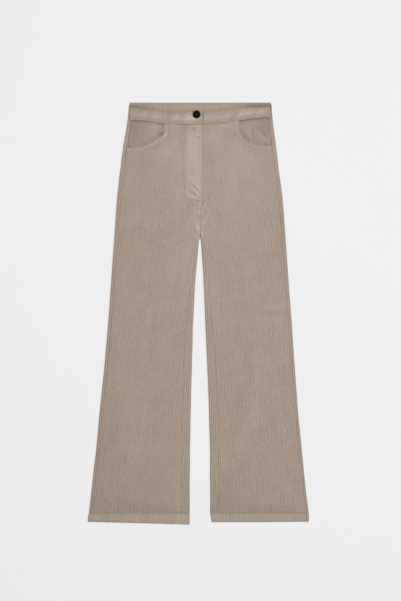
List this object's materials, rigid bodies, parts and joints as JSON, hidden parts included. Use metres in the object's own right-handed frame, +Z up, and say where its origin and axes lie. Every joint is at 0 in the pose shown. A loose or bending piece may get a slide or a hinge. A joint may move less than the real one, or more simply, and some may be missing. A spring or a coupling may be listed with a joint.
{
  "type": "wide-leg corduroy trousers",
  "caption": "High-waisted wide-leg trousers in wide-wale corduroy, laid flat front side up, with scoop pockets, a fly and a waist button.",
  "frame": {"origin": "centre of the bounding box, on the underside that lies on the surface", "axes": "+X across the garment to the wearer's left, +Y from the hems to the waist, +Z up, out of the front"},
  "size_m": [0.5642, 1.0772, 0.0132],
  "materials": {
    "corduroy_front": "wide-wale cotton corduroy, raised cords with a soft pile, greige",
    "corduroy_back": "wide-wale cotton corduroy, raised cords with a soft pile, greige",
    "waistband": "corduroy over interlining, topstitched, greige",
    "pocket_facing": "corduroy, cords upright, a little darker than the fronts",
    "fly_cloth": "corduroy, hidden under the fly",
    "zip": "woven zip tape, closed, hidden",
    "button": "polished dark brown resin"
  },
  "bodies": {
    "root": {"front_panel_right": "corduroy_front", "front_panel_left": "corduroy_front", "back_panel_right": "corduroy_back", "back_panel_left": "corduroy_back", "waistband_front_right": "waistband", "waistband_front_left": "waistband", "waistband_back": "waistband", "pocket_facing_right": "pocket_facing", "pocket_facing_left": "pocket_facing", "fly_shield": "fly_cloth", "fly_zip": "zip", "waist_button": "button"}
  },
  "joints": []
}
